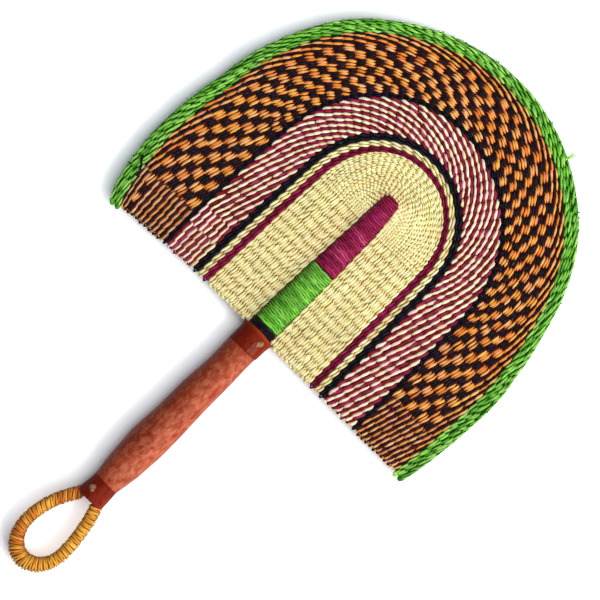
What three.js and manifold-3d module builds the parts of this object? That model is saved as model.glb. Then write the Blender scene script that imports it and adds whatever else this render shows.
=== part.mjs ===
// A hand fan woven from coloured grass. A wide round blade of twined rows grows
// out of a wrapped spine, on a leather covered grip that ends in a wound loop.
// Millimetres. X runs across the blade, Y from the loop to the tip, Z is up.
// The drawing starts from the blade's base edge, at y = 0 on the spine, and the
// finished fan is set down so that the middle of its box stands on the origin.
import * as THREE from 'three';
import { mergeVertices } from 'three/addons/utils/BufferGeometryUtils.js';
import Module from 'manifold-3d';

const wasm = await Module();
wasm.setup();

// Clearance between pieces that touch
const gap = 0.3;

// Blade
const bladeThickness = 4;
const archCentreY = 92.4;      // up to here the sides rise, and past it they arch over
const baseNarrowing = 0.0284;  // how much narrower the outline is at the base, as a share
const sideSwell = 0.135;       // how fast the sides swell again above the base
const baseFlare = 2.2;         // how far out each woven edge leans towards the base
const leftTuck = 5;            // how far the outer pieces bend in at the left corner
const tuckHeight = 11;
const tuckRim = 8;             // so far in from the rim they bend all the way
const tuckWidth = 18;          // and further in, less and less
const leftDroop = 8;           // the base edge hangs down at the left corner
const rightRise = 1.8;         // and lifts a little at the right corner
const sideSteps = 5;
const baseCrowding = 1.4;      // the side points lie closer together near the base
const archSteps = 22;

// Widths of the woven pieces at the blade's sides, from the spine out
const naturalFieldSide = 32;
const maroonLineSide = 4.2;
const naturalRingSide = 3.8;
const blackRingSide = 4.3;
const stripedBandLeft = 21.7;
const stripedBandRight = 24.4;
const blackCheckRingSide = 3;
const checkBandLeft = 36.3;
const checkBandRight = 33;
const orangeRimSide = 3;
const greenBorderSide = 8.2;

// Their widths over the spine's tip
const naturalFieldTip = 24.1;
const maroonLineTip = 3.3;
const naturalRingTip = 3.6;
const blackRingTip = 4;
const stripedBandTip = 21.7;
const blackCheckRingTip = 3;
const checkBandTip = 32.9;
const orangeRimTip = 2.4;
const greenBorderTip = 8;

// How square each piece's outer edge arches, where 2 is an ellipse
const wovenPiece = (name, left, right, tip, arch, colour) =>
  ({ name, left, right, tip, arch, colour });
const evenPiece = (name, side, tip, arch, colour) =>
  wovenPiece(name, side, side, tip, arch, colour);
const wovenPieces = [
  evenPiece('natural_field', naturalFieldSide, naturalFieldTip, 2.1, '#e6d898'),
  evenPiece('maroon_line', maroonLineSide, maroonLineTip, 2.05, '#6b1038'),
  evenPiece('natural_ring', naturalRingSide, naturalRingTip, 2.04, '#e4d592'),
  evenPiece('black_ring', blackRingSide, blackRingTip, 2.08, '#1b1820'),
  wovenPiece('striped_band', stripedBandLeft, stripedBandRight, stripedBandTip, 2.04, '#b0748c'),
  evenPiece('black_check_ring', blackCheckRingSide, blackCheckRingTip, 2.02, '#1b1820'),
  wovenPiece('check_band', checkBandLeft, checkBandRight, checkBandTip, 1.96, '#b8702c'),
  evenPiece('orange_rim', orangeRimSide, orangeRimTip, 1.96, '#d98430'),
  evenPiece('green_border', greenBorderSide, greenBorderTip, 1.96, '#46a834'),
];

// Stakes, the stiff straws that the rows are twined round
const stakeWidth = 2.4;
const stakeThickness = 1.4;
const sideStakes = 5;          // on each side
const archStakes = 15;         // fanned round the arch
const rootWidth = 2;           // the binding that joins the stakes beside the spine
const rootSetBack = 1.2;
const stakeSetBack = 2;        // from the rim of the blade

// Spine
const spineRadius = 9.2;
const spineTipRadius = 5.9;
const spineTipY = 115.8;
const blackWrapLength = 5.6;
const greenWrapLength = 47.8;
const spineStrand = 1.3;
const spineWrapRoom = 0.6;     // between the turns and the bundle that they bind
const blackTurns = 2;
const greenTurns = 24;
const purpleTurns = 24;
const stepsPerTurn = 12;
const strandSides = 4;

// Grip and collars
const collarLength = 13.8;
const collarTopY = 1.8;
const collarRadius = 10.5;
const collarLipRadius = 11.6;  // its top edge flares
const collarLipLength = 2.5;
const collarWall = 1.3;
const gripTopRadius = 10.1;
const gripNeckLength = 8;      // with the top radius, below the collar
const gripMiddleRadius = 11.2;
const gripMiddleY = -62;
const gripPalmRadius = 12.1;
const gripPalmY = -93;
const gripUpperSwell = 0.2;    // how far it swells past a straight line, above the palm
const gripLowerSwell = 0.5;    // and below it
const gripLowerDrop = 3;
const gripEndRadius = 8.9;
const gripEndY = -126.6;
const leatherWall = 1.3;
const tuckStep = 0.6;          // where the grip leather steps in to go under a collar
const collarOverlap = 6;       // how far the grip leather runs under each collar
const lowerCollarLength = 14.4;
const lowerCollarTopRadius = 8.7;
const lowerCollarEndRadius = 9.7;
const tieRadius = 2.1;
const tieHeight = 1.2;
const upperTieX = 5;
const upperTieDown = 4.6;      // below its collar's top
const lowerTieX = -3.3;
const lowerTieDown = 7.4;
const roundSides = 24;

// Loop
const loopHalfWidth = 15;      // of the centre line
const loopMouthHalfWidth = 6.2;
const loopLegLength = 34.2;
const loopEndDepth = 19.5;
const loopSideRadius = 4;      // over the winding
const loopEndRadius = 5.3;
const loopStrand = 1.8;
const loopTuck = 4;            // how far each leg curves on up into the collar
const legStraight = 2;         // then it runs straight to the bundle's end
const loopTurns = 24;
const loopCoreSteps = 44;
const loopCoreSides = 8;

const flipTriangles = (index) => {
  for (let i = 0; i < index.length; i += 3) {
    [index[i + 1], index[i + 2]] = [index[i + 2], index[i + 1]];
  }
};

// Returns the geometry with shared corners and its faces pointing out
function closedBody(geometry) {
  geometry.deleteAttribute('normal');
  geometry.deleteAttribute('uv');
  const body = mergeVertices(geometry, 1e-4);
  const corner = new THREE.Vector3();
  const index = Array.from(body.index.array);
  let volume = 0;
  for (let i = 0; i < index.length; i += 3) {
    const [a, b, c] = [0, 1, 2].map((k) =>
      corner.clone().fromBufferAttribute(body.attributes.position, index[i + k]));
    volume += a.dot(b.cross(c));
  }
  if (volume < 0) flipTriangles(index);
  body.setIndex(index);
  return body;
}

function solidOf(geometry) {
  const body = closedBody(geometry);
  return new wasm.Manifold(new wasm.Mesh({
    numProp: 3,
    vertProperties: new Float32Array(body.attributes.position.array),
    triVerts: new Uint32Array(body.index.array),
  }));
}

function geometryOf(solid) {
  const mesh = solid.getMesh();
  const geometry = new THREE.BufferGeometry();
  const corners = [];
  for (let i = 0; i < mesh.vertProperties.length; i += mesh.numProp) {
    corners.push(...mesh.vertProperties.slice(i, i + 3));
  }
  geometry.setAttribute('position', new THREE.Float32BufferAttribute(corners, 3));
  geometry.setIndex(Array.from(mesh.triVerts));
  return geometry;
}

const materialOf = (colour, roughness) =>
  new THREE.MeshStandardMaterial({ color: colour, roughness, metalness: 0 });

function pieceOf(name, geometry, material) {
  const mesh = new THREE.Mesh(closedBody(geometry), material);
  mesh.name = name;
  return mesh;
}

// A tube of the given radius along a row of points. Its first and last stretches
// run straight, and outward(point, i) says which way its section's first corner lies
function tubeOf(points, radiusAt, sides, outward) {
  const corners = [];
  const faces = [];
  points.forEach((point, i) => {
    const before = points[Math.max(i - 1, 0)];
    const after = points[Math.min(i + 1, points.length - 1)];
    const along = after.clone().sub(before).normalize();
    const out = outward(point, i);
    out.addScaledVector(along, -out.dot(along)).normalize();
    const across = along.clone().cross(out);
    for (let k = 0; k < sides; k += 1) {
      const turn = (2 * Math.PI * (k + 0.5)) / sides;
      const corner = point.clone();
      corner.addScaledVector(out, radiusAt(i) * Math.cos(turn));
      corner.addScaledVector(across, radiusAt(i) * Math.sin(turn));
      corners.push(corner.x, corner.y, corner.z);
    }
  });
  for (let i = 0; i + 1 < points.length; i += 1) {
    for (let k = 0; k < sides; k += 1) {
      const here = i * sides + k;
      const beside = i * sides + ((k + 1) % sides);
      faces.push(here, beside, beside + sides, here, beside + sides, here + sides);
    }
  }
  const last = (points.length - 1) * sides;
  for (let k = 1; k + 1 < sides; k += 1) {
    faces.push(0, k + 1, k, last, last + k, last + k + 1);
  }
  const geometry = new THREE.BufferGeometry();
  geometry.setAttribute('position', new THREE.Float32BufferAttribute(corners, 3));
  geometry.setIndex(faces);
  return geometry;
}

// A strand's end runs straight for one strand thickness
function withStraightEnds(points, strand) {
  const startWay = points[0].clone().sub(points[1]).normalize();
  const last = points.length - 1;
  const endWay = points[last].clone().sub(points[last - 1]).normalize();
  const start = points[0].clone().addScaledVector(startWay, strand);
  const end = points[last].clone().addScaledVector(endWay, strand);
  return [start, ...points, end];
}

// Prints the least gap between the turns of one strand
function printLeastGap(name, points, strand) {
  let least = Infinity;
  for (let i = 0; i < points.length; i += 1) {
    for (let j = i + stepsPerTurn / 2; j < points.length; j += 1) {
      least = Math.min(least, points[i].distanceTo(points[j]) - strand);
    }
  }
  console.log(`${name}: the least gap to itself is ${least.toFixed(2)} mm`);
}

// Outline of the blade
const wovenWidth = wovenPieces.reduce((sum, w) => sum + w.left + w.right, 0);
const bladeHalfWidth = spineRadius + gap + wovenWidth / 2;

function baseY(x) {
  const share = x / bladeHalfWidth;
  return x < 0 ? -leftDroop * share * share : rightRise * share * share;
}

// How far an edge lies from the middle on its right side, or on its left one
const halfWidthOf = (edge, isRight) => (isRight ? edge.rightHalf : edge.leftHalf);

// How far out a side lies at the height y, where an outer edge swells and narrows
function sideX(edge, hand, y) {
  const half = halfWidthOf(edge, hand > 0);
  const share = y / archCentreY;
  const outness = (half / bladeHalfWidth) ** 2;
  const swell = (1 - share) * (sideSwell * share - baseNarrowing);
  const pastRim = Math.max(bladeHalfWidth - half - tuckRim, 0);
  const nearRim = Math.max(1 - pastRim / tuckWidth, 0);
  const tuck = leftTuck * nearRim * nearRim * Math.exp(-(y + leftDroop) / tuckHeight);
  const reach = half * (1 + outness * swell) + baseFlare * (1 - share);
  return hand > 0 ? reach : tuck - reach;
}

function archRadius(edge, angle) {
  const half = halfWidthOf(edge, Math.cos(angle) > 0);
  const across = Math.abs(Math.cos(angle) / half) ** edge.arch;
  const along = Math.abs(Math.sin(angle) / (edge.tipY - archCentreY)) ** edge.arch;
  return (across + along) ** (-1 / edge.arch);
}

// The points of an edge from the right base corner over the tip to the left one
function edgePoints(edge) {
  const points = [];
  const side = (hand) => {
    const rising = [];
    const base = baseY(sideX(edge, hand, 0));
    for (let i = 0; i < sideSteps; i += 1) {
      const y = base + (archCentreY - base) * (i / sideSteps) ** baseCrowding;
      rising.push(new THREE.Vector2(sideX(edge, hand, y), y));
    }
    return rising;
  };
  points.push(...side(1));
  for (let i = 0; i <= archSteps; i += 1) {
    const angle = (Math.PI * i) / archSteps;
    const reach = archRadius(edge, angle);
    const x = reach * Math.cos(angle);
    points.push(new THREE.Vector2(x, archCentreY + reach * Math.sin(angle)));
  }
  points.push(...side(-1).reverse());
  return points;
}

// Spine and the edge that runs round it
function spineRadiusAt(y) {
  const share = Math.max(y, 0) / spineTipY;
  return spineRadius - (spineRadius - spineTipRadius) * share * share;
}

function spineEdgePoints(away, startY) {
  const right = [];
  const aboveCollar = collarTopY + away;
  if (startY < aboveCollar) {
    right.push(new THREE.Vector2(collarLipRadius + away, startY));
    right.push(new THREE.Vector2(collarLipRadius + away, aboveCollar));
  }
  const firstY = Math.max(startY, aboveCollar);
  const topY = spineTipY + away;
  for (let i = 0; i <= sideSteps; i += 1) {
    const y = firstY + ((topY - firstY) * i) / sideSteps;
    right.push(new THREE.Vector2(spineRadiusAt(Math.min(y, spineTipY)) + away, y));
  }
  const left = right.map((p) => new THREE.Vector2(-p.x, p.y)).reverse();
  return [...right, ...left];
}

function slabBetween(outer, inner, thickness) {
  const shape = new THREE.Shape([...outer, ...inner.slice().reverse()]);
  const slab = new THREE.ExtrudeGeometry(shape, { depth: thickness, bevelEnabled: false });
  return slab.translate(0, 0, -thickness / 2);
}

// The stakes and their roots as one comb, drawn larger by the clearance for its cut
function combOf(clearance) {
  const thickness = stakeThickness + 2 * clearance;
  const rootStartY = rootSetBack + gap - clearance;
  const rootInner = spineEdgePoints(gap + rootSetBack - clearance, rootStartY);
  const rootOuter = spineEdgePoints(gap + rootSetBack + rootWidth + clearance, rootStartY);
  let comb = solidOf(slabBetween(rootOuter, rootInner, thickness));
  const rim = { ...edges[edges.length - 1] };
  const rootMiddle = gap + rootSetBack + rootWidth / 2;
  const addStake = (from, to) => {
    const way = to.clone().sub(from);
    const length = way.length() + clearance;
    const stake = new THREE.BoxGeometry(length, stakeWidth + 2 * clearance, thickness);
    stake.translate(length / 2, 0, 0);
    stake.rotateZ(Math.atan2(way.y, way.x));
    stake.translate(from.x, from.y, 0);
    comb = comb.add(solidOf(stake));
  };
  for (const hand of [1, -1]) {
    for (let i = 0; i < sideStakes; i += 1) {
      const y = (archCentreY * (i + 0.5)) / sideStakes;
      const from = new THREE.Vector2(hand * (spineRadiusAt(y) + rootMiddle), y);
      addStake(from, new THREE.Vector2(sideX(rim, hand, y) - hand * stakeSetBack, y));
    }
  }
  const rootHalf = spineRadiusAt(archCentreY) + rootMiddle;
  const rootEdge = {
    leftHalf: rootHalf,
    rightHalf: rootHalf,
    tipY: spineTipY + rootMiddle,
    arch: 3,
  };
  for (let i = 0; i < archStakes; i += 1) {
    const angle = (Math.PI * (i + 0.5)) / archStakes;
    const way = new THREE.Vector2(Math.cos(angle), Math.sin(angle));
    const centre = new THREE.Vector2(0, archCentreY);
    const from = centre.clone().addScaledVector(way, archRadius(rootEdge, angle));
    const to = centre.clone().addScaledVector(way, archRadius(rim, angle) - stakeSetBack);
    addStake(from, to);
  }
  return comb;
}

// Each woven piece's outer edge
const edges = [];
let leftHalf = spineRadius + gap;
let rightHalf = spineRadius + gap;
let tipY = spineTipY + gap;
for (const woven of wovenPieces) {
  leftHalf += woven.left;
  rightHalf += woven.right;
  tipY += woven.tip;
  edges.push({ leftHalf, rightHalf, tipY, arch: woven.arch });
}

const moved = (edge, by) => ({
  ...edge,
  leftHalf: edge.leftHalf + by,
  rightHalf: edge.rightHalf + by,
  tipY: edge.tipY + by,
});

function addBlade(fan) {
  const cut = combOf(gap);
  wovenPieces.forEach((woven, i) => {
    const outer = edgePoints(moved(edges[i], -gap / 2));
    const inner = i > 0
      ? edgePoints(moved(edges[i - 1], gap / 2))
      : spineEdgePoints(gap, 0);
    const slab = solidOf(slabBetween(outer, inner, bladeThickness));
    const geometry = geometryOf(slab.subtract(cut));
    fan.add(pieceOf(woven.name, geometry, materialOf(woven.colour, 0.8)));
  });
  fan.add(pieceOf('stakes', geometryOf(combOf(0)), materialOf('#d8c988', 0.85)));
}

// One strand wound round the spine between two heights
function spineWrap(name, startY, endY, turns, colour) {
  const inset = (spineStrand + gap) / 2;
  const points = [];
  const steps = turns * stepsPerTurn;
  for (let i = 0; i <= steps; i += 1) {
    const y = startY + inset + ((endY - startY - 2 * inset) * i) / steps;
    const angle = (2 * Math.PI * i) / stepsPerTurn;
    const radius = spineRadiusAt(y) - spineStrand / 2;
    points.push(new THREE.Vector3(radius * Math.cos(angle), y, radius * Math.sin(angle)));
  }
  printLeastGap(name, points, spineStrand);
  const fromAxis = (point) => new THREE.Vector3(point.x, 0, point.z);
  const wound = withStraightEnds(points, spineStrand);
  const geometry = tubeOf(wound, () => spineStrand / 2, strandSides, fromAxis);
  return pieceOf(name, geometry, materialOf(colour, 0.7));
}

function addSpine(fan) {
  const blackEndY = collarTopY + blackWrapLength;
  const greenEndY = blackEndY + greenWrapLength;
  fan.add(spineWrap('black_wrap', collarTopY, blackEndY, blackTurns, '#1a171e'));
  fan.add(spineWrap('green_wrap', blackEndY, greenEndY, greenTurns, '#56b83a'));
  fan.add(spineWrap('purple_wrap', greenEndY, spineTipY, purpleTurns, '#7d1550'));
}

// Turns a closed profile of [radius, y] round the fan's long axis
function turned(name, profile, material) {
  const points = [...profile, profile[0]].map(([r, y]) => new THREE.Vector2(r, y));
  return pieceOf(name, new THREE.LatheGeometry(points, roundSides), material);
}

// Grip: the leather's outer profile from under the upper collar down to the lower one
const collarEndY = collarTopY - collarLength;
const lowerCollarEndY = gripEndY - lowerCollarLength;
const upperTuckRadius = collarRadius - collarWall - gap;
const lowerTuckRadius = lowerCollarTopRadius - collarWall - gap;
const gripProfile = [
  [upperTuckRadius, collarEndY + collarOverlap],
  [upperTuckRadius, collarEndY - gap],
  [gripTopRadius, collarEndY - gap - tuckStep],
  [gripTopRadius, collarEndY - gripNeckLength],
  [gripMiddleRadius, gripMiddleY],
  [(gripMiddleRadius + gripPalmRadius) / 2 + gripUpperSwell, (gripMiddleY + gripPalmY) / 2],
  [gripPalmRadius, gripPalmY],
  [(gripPalmRadius + gripEndRadius) / 2 + gripLowerSwell,
    (gripPalmY + gripEndY) / 2 - gripLowerDrop],
  [gripEndRadius, gripEndY + gap + tuckStep],
  [lowerTuckRadius, gripEndY + gap],
  [lowerTuckRadius, gripEndY - collarOverlap],
];

// The straw bundle that runs through the grip and up the spine
function bundleProfile() {
  const room = leatherWall + gap;
  const endY = lowerCollarEndY + loopTuck + legStraight + gap;
  const profile = [[0, endY], [lowerTuckRadius - room, endY]];
  for (const [radius, y] of gripProfile.slice().reverse()) {
    profile.push([radius - room, y]);
  }
  const bundleAt = (y) => spineRadiusAt(y) - spineStrand - spineWrapRoom;
  const steps = 6;
  for (let i = 0; i <= steps; i += 1) {
    const y = (spineTipY * i) / steps;
    profile.push([bundleAt(y), y]);
  }
  profile.push([0, spineTipY]);
  return profile;
}

function addHandle(fan) {
  const tan = materialOf('#b45431', 0.6);
  const dark = materialOf('#701d16', 0.55);
  const inside = gripProfile.map(([radius, y]) => [radius - leatherWall, y]).reverse();
  fan.add(turned('leather_grip', [...gripProfile, ...inside], tan));
  fan.add(turned('upper_collar', [
    [collarLipRadius, collarTopY],
    [collarRadius, collarTopY - collarLipLength],
    [collarRadius, collarEndY],
    [collarRadius - collarWall, collarEndY],
    [collarRadius - collarWall, collarTopY - collarLipLength],
    [collarLipRadius - collarWall, collarTopY],
  ], dark));
  fan.add(turned('lower_collar', [
    [lowerCollarTopRadius, gripEndY],
    [lowerCollarEndRadius, lowerCollarEndY],
    [lowerCollarEndRadius - collarWall, lowerCollarEndY],
    [lowerCollarTopRadius - collarWall, gripEndY],
  ], dark));
  const bundle = bundleProfile().map(([r, y]) => new THREE.Vector2(r, y));
  const straw = materialOf('#cdbb7d', 0.85);
  fan.add(pieceOf('straw_bundle', new THREE.LatheGeometry(bundle, roundSides), straw));
}

// The small folded knot that holds a collar's end, set on the collar's surface
function addTie(fan, name, x, y, radiusThere) {
  const dome = [new THREE.Vector2(0, 0)];
  const steps = 4;
  for (let i = 0; i <= steps; i += 1) {
    const angle = (Math.PI / 2) * (i / steps);
    const radius = i < steps ? tieRadius * Math.cos(angle) : 0;
    dome.push(new THREE.Vector2(radius, tieHeight * Math.sin(angle)));
  }
  const knot = materialOf('#8a4a32', 0.6);
  const tie = pieceOf(name, new THREE.LatheGeometry(dome, roundSides / 2), knot);
  const lean = Math.asin(x / radiusThere);
  const seat = radiusThere + gap;
  tie.rotation.set(Math.PI / 2, 0, -lean, 'YXZ');
  tie.position.set(seat * Math.sin(lean), y, seat * Math.cos(lean));
  fan.add(tie);
}

// The loop's centre line: a leg curving out, round the end and back up the other leg
class LoopLine extends THREE.Curve {
  getPoint(t, target = new THREE.Vector3()) {
    const legShare = (loopLegLength + loopTuck) / (2 * (loopLegLength + loopTuck) + 54);
    const across = loopHalfWidth - loopMouthHalfWidth;
    const hand = t < 0.5 ? 1 : -1;
    const share = t < 0.5 ? t / legShare : (1 - t) / legShare;
    if (share < 1) {
      const start = -loopTuck / loopLegLength;
      const down = start + (1 - start) * share;
      const x = hand * (loopHalfWidth - across * (1 - down) ** 2);
      return target.set(x, lowerCollarEndY - loopLegLength * down, 0);
    }
    const angle = (Math.PI * (t - legShare)) / (1 - 2 * legShare);
    const y = lowerCollarEndY - loopLegLength - loopEndDepth * Math.sin(angle);
    return target.set(loopHalfWidth * Math.cos(angle), y, 0);
  }
}

const loopLine = new LoopLine();
loopLine.arcLengthDivisions = 800;

// The wound loop is thicker round its end than on its legs
function loopRadiusAt(point) {
  const below = Math.max(lowerCollarEndY - loopLegLength - point.y, 0) / loopEndDepth;
  return loopSideRadius + (loopEndRadius - loopSideRadius) * below * below;
}

const up = new THREE.Vector3(0, 0, 1);

function addLoop(fan) {
  const straw = materialOf('#b98a45', 0.8);
  const golden = materialOf('#e2952c', 0.7);
  const corePoints = [];
  for (let i = 0; i <= loopCoreSteps; i += 1) {
    corePoints.push(loopLine.getPointAt(i / loopCoreSteps));
  }
  const legTop = (point) => point.clone().add(new THREE.Vector3(0, legStraight, 0));
  corePoints.unshift(legTop(corePoints[0]));
  corePoints.push(legTop(corePoints[corePoints.length - 1]));
  const coreRadius = (i) => loopRadiusAt(corePoints[i]) - loopStrand - gap;
  const core = tubeOf(corePoints, coreRadius, loopCoreSides, () => up.clone());
  fan.add(pieceOf('loop_core', core, straw));

  const length = loopLine.getLength();
  const bareEnd = (loopTuck + gap + 2 * loopStrand) / length;
  const steps = loopTurns * stepsPerTurn;
  const points = [];
  const centres = [];
  for (let i = 0; i <= steps; i += 1) {
    const along = bareEnd + ((1 - 2 * bareEnd) * i) / steps;
    const centre = loopLine.getPointAt(along);
    const side = loopLine.getTangentAt(along).cross(up).normalize();
    const radius = loopRadiusAt(centre) - loopStrand / 2;
    const angle = (2 * Math.PI * i) / stepsPerTurn;
    const point = centre.clone().addScaledVector(side, radius * Math.cos(angle));
    points.push(point.addScaledVector(up, radius * Math.sin(angle)));
    centres.push(centre);
  }
  printLeastGap('loop_winding', points, loopStrand);
  const wound = withStraightEnds(points, loopStrand);
  const ringCentres = [centres[0], ...centres, centres[steps]];
  const fromLine = (point, i) => point.clone().sub(ringCentres[i]);
  const winding = tubeOf(wound, () => loopStrand / 2, strandSides, fromLine);
  fan.add(pieceOf('loop_winding', winding, golden));
}

const fan = new THREE.Group();
addBlade(fan);
addSpine(fan);
addHandle(fan);
addTie(fan, 'upper_tie', upperTieX, collarTopY - upperTieDown, collarRadius);
const lowerCollarMiddleRadius = (lowerCollarTopRadius + lowerCollarEndRadius) / 2;
addTie(fan, 'lower_tie', lowerTieX, gripEndY - lowerTieDown, lowerCollarMiddleRadius);
addLoop(fan);

// Sets the middle of the fan's box over the origin, with its lowest point at z = 0
const box = new THREE.Box3().setFromObject(fan);
fan.position.x = -(box.min.x + box.max.x) / 2;
fan.position.y = -(box.min.y + box.max.y) / 2;
fan.position.z = -box.min.z;

const placed = new THREE.Group();
placed.add(fan);

export default placed;
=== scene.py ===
import math

import bpy
import numpy as np
from mathutils import Matrix, Vector


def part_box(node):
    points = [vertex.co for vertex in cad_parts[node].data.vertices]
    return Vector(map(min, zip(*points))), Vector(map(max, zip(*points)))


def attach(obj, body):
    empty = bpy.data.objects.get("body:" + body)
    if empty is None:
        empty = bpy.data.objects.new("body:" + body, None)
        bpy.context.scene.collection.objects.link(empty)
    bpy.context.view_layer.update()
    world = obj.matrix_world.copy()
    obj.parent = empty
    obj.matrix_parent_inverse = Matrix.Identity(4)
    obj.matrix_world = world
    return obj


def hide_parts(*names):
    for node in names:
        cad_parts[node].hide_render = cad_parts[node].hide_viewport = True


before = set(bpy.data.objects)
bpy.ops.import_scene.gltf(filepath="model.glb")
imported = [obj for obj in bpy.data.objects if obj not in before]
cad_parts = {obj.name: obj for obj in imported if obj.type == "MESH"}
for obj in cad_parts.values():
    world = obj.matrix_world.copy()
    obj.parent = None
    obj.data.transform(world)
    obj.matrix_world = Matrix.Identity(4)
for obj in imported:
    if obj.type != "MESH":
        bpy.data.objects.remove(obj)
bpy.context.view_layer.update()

MM = 0.001
UP = np.array([0, 0, 1])

# Blade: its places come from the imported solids, and all shapes are drawn from the
# base line, where the woven rows end beside the spine
COLLAR_RISE = 1.8 * MM  # how far the upper collar ends above it
BASE_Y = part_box("upper_collar")[1].y - COLLAR_RISE
MIDDLE_X = (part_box("upper_collar")[0].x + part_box("upper_collar")[1].x) / 2
MIDDLE_Z = (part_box("natural_field")[0].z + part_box("natural_field")[1].z) / 2
HALF_WIDTH = 125.7 * MM
ARCH_Y = 92.4 * MM  # where the arch begins
BASE_NARROWING = 0.0284
SIDE_SWELL = 0.135
BASE_FLARE = 2.2 * MM
LEFT_DROOP = 8 * MM  # how far the left base corner hangs
RIGHT_RISE = 1.8 * MM  # and the right one stands up
LEFT_TUCK = 5 * MM  # how far the outer rows bend inwards at the left
TUCK_HEIGHT = 11 * MM
TUCK_RIM = 8 * MM  # so far in from the rim they bend all the way
TUCK_WIDTH = 18 * MM

# Spine
SPINE_TIP_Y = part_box("purple_wrap")[1].y - BASE_Y
SPINE_RADIUS = 9.2 * MM
SPINE_TIP_RADIUS = 5.9 * MM
SPINE_SQUARENESS = 3.4
SPINE_LEAN = -1.1 * MM  # the tip leans to the left
SPINE_STRAIGHT = 75 * MM  # it runs straight up to here
TIP_ROUND = 3 * MM  # the tip is rounded over this length
TIP_CURVE = 0.85  # 0 would leave it square, and 1 would draw it in to a point
WRAP_HALF = 0.675 * MM  # half its strand's thickness
WRAP_START = 0.5 * MM  # how far below the collar's edge it starts
WRAP_PAST = 0.3 * MM  # how far past the solids' borders it changes colour
WRAP_LAP = 0.4 * MM  # how far each colour goes on under the next
UNDER_DEPTH = 1.3 * MM  # of the wrap's first layer
BUTTON_DEPTH = 0.9 * MM
BUNDLE_RADIUS = 7 * MM  # of the straws inside the grip
BUNDLE_DEPTH = 2.2 * MM  # how deep they lie in the spine
TURN_STEPS = 24  # points for each turn

# Weave
SIDE_STAKES = 14
STAKE_RADIUS = 0.75 * MM
SAMPLES = 5  # points of a strand for each stake
FEW_SAMPLES = 4  # where there are this many rows
MANY_ROWS = 20
STRAND_SIDES = 6
STRAND_HEIGHT = 0.55 * MM
BASE_START = 0.36  # where the strands start, in stakes above the base line
BORDER_START = 0.14  # the border hangs a little lower
FIELD_STRAY = 0.3  # how much more the field's crossings stray over the tip
SLOW_WAVES = (0.45, 1.7, 0.9, 0.31)  # two by which a row wanders, and two by which it strays
LIFTS = (0.75, 1.2)  # how far a strand stands up, in strand heights
GIRTHS = (0.84, 1.16)  # a strand's width, as a share of the usual one
TONES = (0.86, 1.12)  # how dark and how light a colour gets
COLOUR_RUN = 5  # stakes over which a colour stays much the same
UNSHADED_OFFSET = 1.5 * MM  # a strand this far off the middle has its full colour, and nearer it gets painted shade
CORE_WIDTH = 0.8  # in row widths
CORE_HEIGHT = 0.3 * MM
FIBRE_SHIFT = 900  # so that no two strands have the same streaks


def placed_at(x, y, z):
    """Points in the frame, from places off the middle of the base line."""
    return np.stack(np.broadcast_arrays(x + MIDDLE_X, y + BASE_Y, z + MIDDLE_Z), axis=-1)


def linear(colour):
    """Turns an sRGB colour of 0 to 255 into linear light."""
    c = np.asarray(colour, dtype=float) / 255
    return np.where(c <= 0.04045, c / 12.92, ((c + 0.055) / 1.055) ** 2.4)


STRAW = linear([[250, 240, 182], [243, 227, 162], [254, 246, 200], [236, 226, 152], [240, 212, 154]])
MAROON = linear([[132, 14, 62], [112, 10, 50], [150, 26, 78], [100, 12, 38]])
WINE = linear([[126, 26, 38], [143, 22, 67], [108, 18, 27], [158, 48, 88]])
BLACK = linear([[12, 9, 19], [7, 5, 10], [22, 13, 34], [9, 12, 21]])
SOOT = linear([[20, 9, 15], [11, 5, 8], [28, 13, 30], [15, 11, 14]])
DUSK = linear([[52, 12, 28], [30, 10, 16], [22, 9, 14], [66, 22, 30], [34, 24, 12]])
PEACH = linear([[221, 156, 101], [233, 184, 129], [222, 162, 125], [212, 143, 70], [216, 130, 76]])
CREAM = linear([[247, 226, 190], [246, 211, 192], [248, 234, 196], [238, 208, 164]])
ORANGE = linear([[230, 144, 62], [218, 120, 48], [237, 176, 88], [234, 171, 120], [236, 157, 68]])
GREEN = linear([[107, 193, 55], [83, 162, 41], [145, 217, 89], [60, 132, 32], [172, 227, 114]])
PURPLE = linear([[167, 30, 82], [129, 13, 52], [208, 80, 127], [148, 21, 65], [178, 36, 101]])
GOLD = linear([[240, 170, 60], [251, 197, 87], [227, 152, 48], [248, 183, 68]])
AMBER = linear([[206, 108, 38], [190, 92, 30], [222, 130, 52], [176, 88, 34]])
PALEST = 0.97  # no grass is paler than this, in linear light
TIP_PAINTED_LIGHT = 0.12  # painted light: the blade's grass is a little lighter towards its tip
FLECK_AND_GLINT = linear((196, 188, 164))
# Painted shade: the colours of the cores and stakes deep in the weave and of the loop's heart, which
# show only in the pits between strands and turns. DARK_GREEN also colours a stub on the rim.
SHADED_STRAW = linear((152, 124, 66))
SHADED_WINE = linear((86, 22, 26))
DARK_BROWN = linear((92, 28, 14))
DARK_GREEN = linear((26, 76, 12))
SHADED_GOLD = linear((120, 60, 14))


class Twine:
    """How rows are twined, in row widths. slim and fat: a strand's half width where two cross,
    and what it gains over a stake. swing: how far they swing out where they cross. wander: how
    uneven a row is. drift: how far its crossings stray, in stakes. deep: what is left of a
    colour between the strands, as painted shade. dive: low where they dive steeply between
    stakes. plump: their height, as a share of the usual one. even: how much colours are drawn
    to their mean."""

    def __init__(self, slim, fat, swing, wander, drift, deep, dive=0.55, plump=1, even=0):
        self.slim, self.fat, self.swing, self.wander = slim, fat, swing, wander
        self.drift, self.deep, self.dive = drift, np.array(deep), dive
        self.plump, self.even = plump, even


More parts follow.
